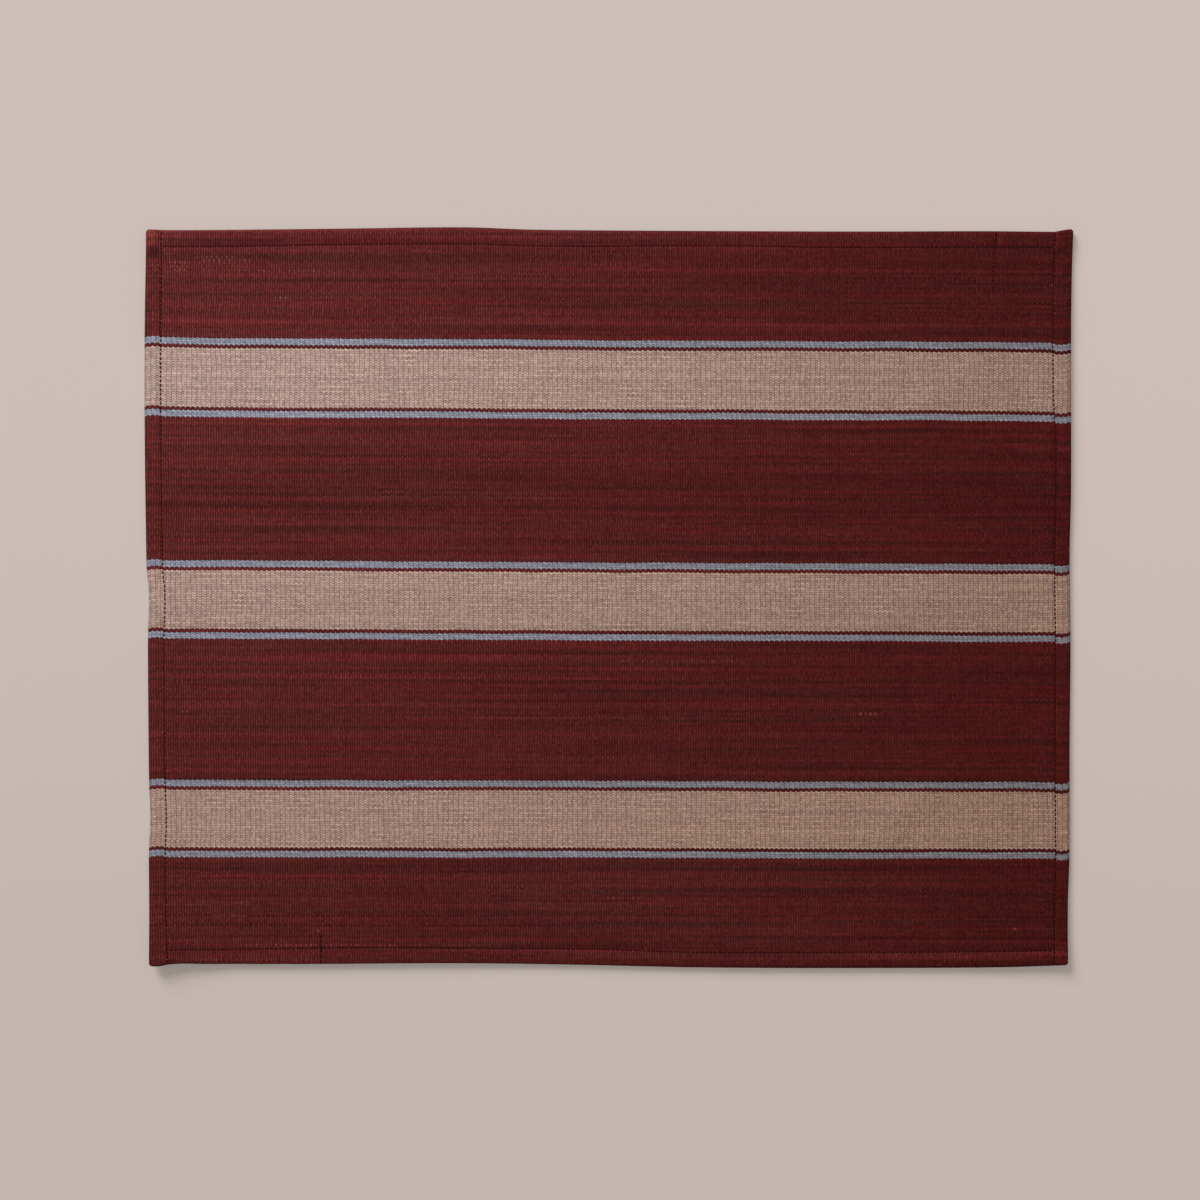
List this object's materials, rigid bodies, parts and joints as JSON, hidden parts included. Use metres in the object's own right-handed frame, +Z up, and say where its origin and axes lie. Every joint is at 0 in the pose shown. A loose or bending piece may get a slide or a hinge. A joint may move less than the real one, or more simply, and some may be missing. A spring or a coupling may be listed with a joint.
{
  "type": "fabric placemat",
  "caption": "Flat rectangular placemat of thick plain-woven cloth with banded stripes across it and turned, stitched hems on every edge; it lies on a table under a place setting.",
  "frame": {"origin": "on the table, under the middle of the outline of the mat", "axes": "+X along the stripes to the right, +Y up the face of the mat, +Z up from the table, out of the face"},
  "size_m": [0.5034, 0.4014, 0.0066],
  "materials": {
    "cloth": "matt plain weave, dark maroon with cream and blue-grey stripes",
    "thread": "dark sewing thread"
  },
  "bodies": {
    "root": {"cloth": "cloth"}
  },
  "joints": []
}
